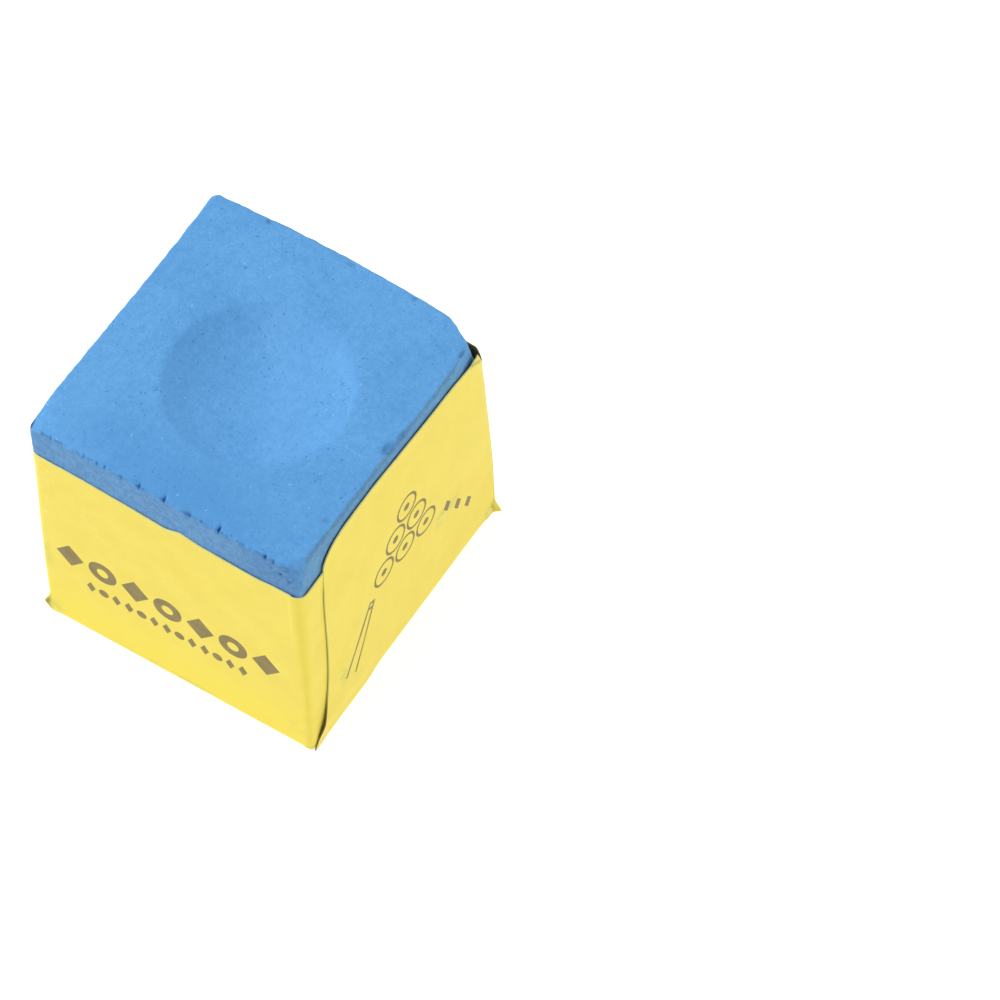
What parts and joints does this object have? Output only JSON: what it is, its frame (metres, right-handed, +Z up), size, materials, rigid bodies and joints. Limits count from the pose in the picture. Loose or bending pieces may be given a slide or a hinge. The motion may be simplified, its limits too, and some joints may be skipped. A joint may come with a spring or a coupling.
{
  "type": "cue chalk cube",
  "caption": "Cube of blue cue chalk with a dished top, in a folded yellow paper wrapper that leaves the top of the chalk bare.",
  "frame": {"origin": "middle of the cube's base, on the surface it stands on", "axes": "+Z up out of the dished face; -Y towards the front side of the wrapper; +X towards the side on which the wrapper's end laps over its tab"},
  "size_m": [0.0236, 0.0236, 0.0239],
  "materials": {
    "chalk": "matte",
    "paper": "satin",
    "glue": "satin"
  },
  "bodies": {
    "root": {"chalk_block": "chalk", "paper_wrapper": "paper", "front_wall_paste": "glue", "left_wall_paste": "glue", "back_wall_paste": "glue", "base_paste": "glue", "lap_glue": "glue", "base_flap_glue": "glue"}
  },
  "joints": []
}
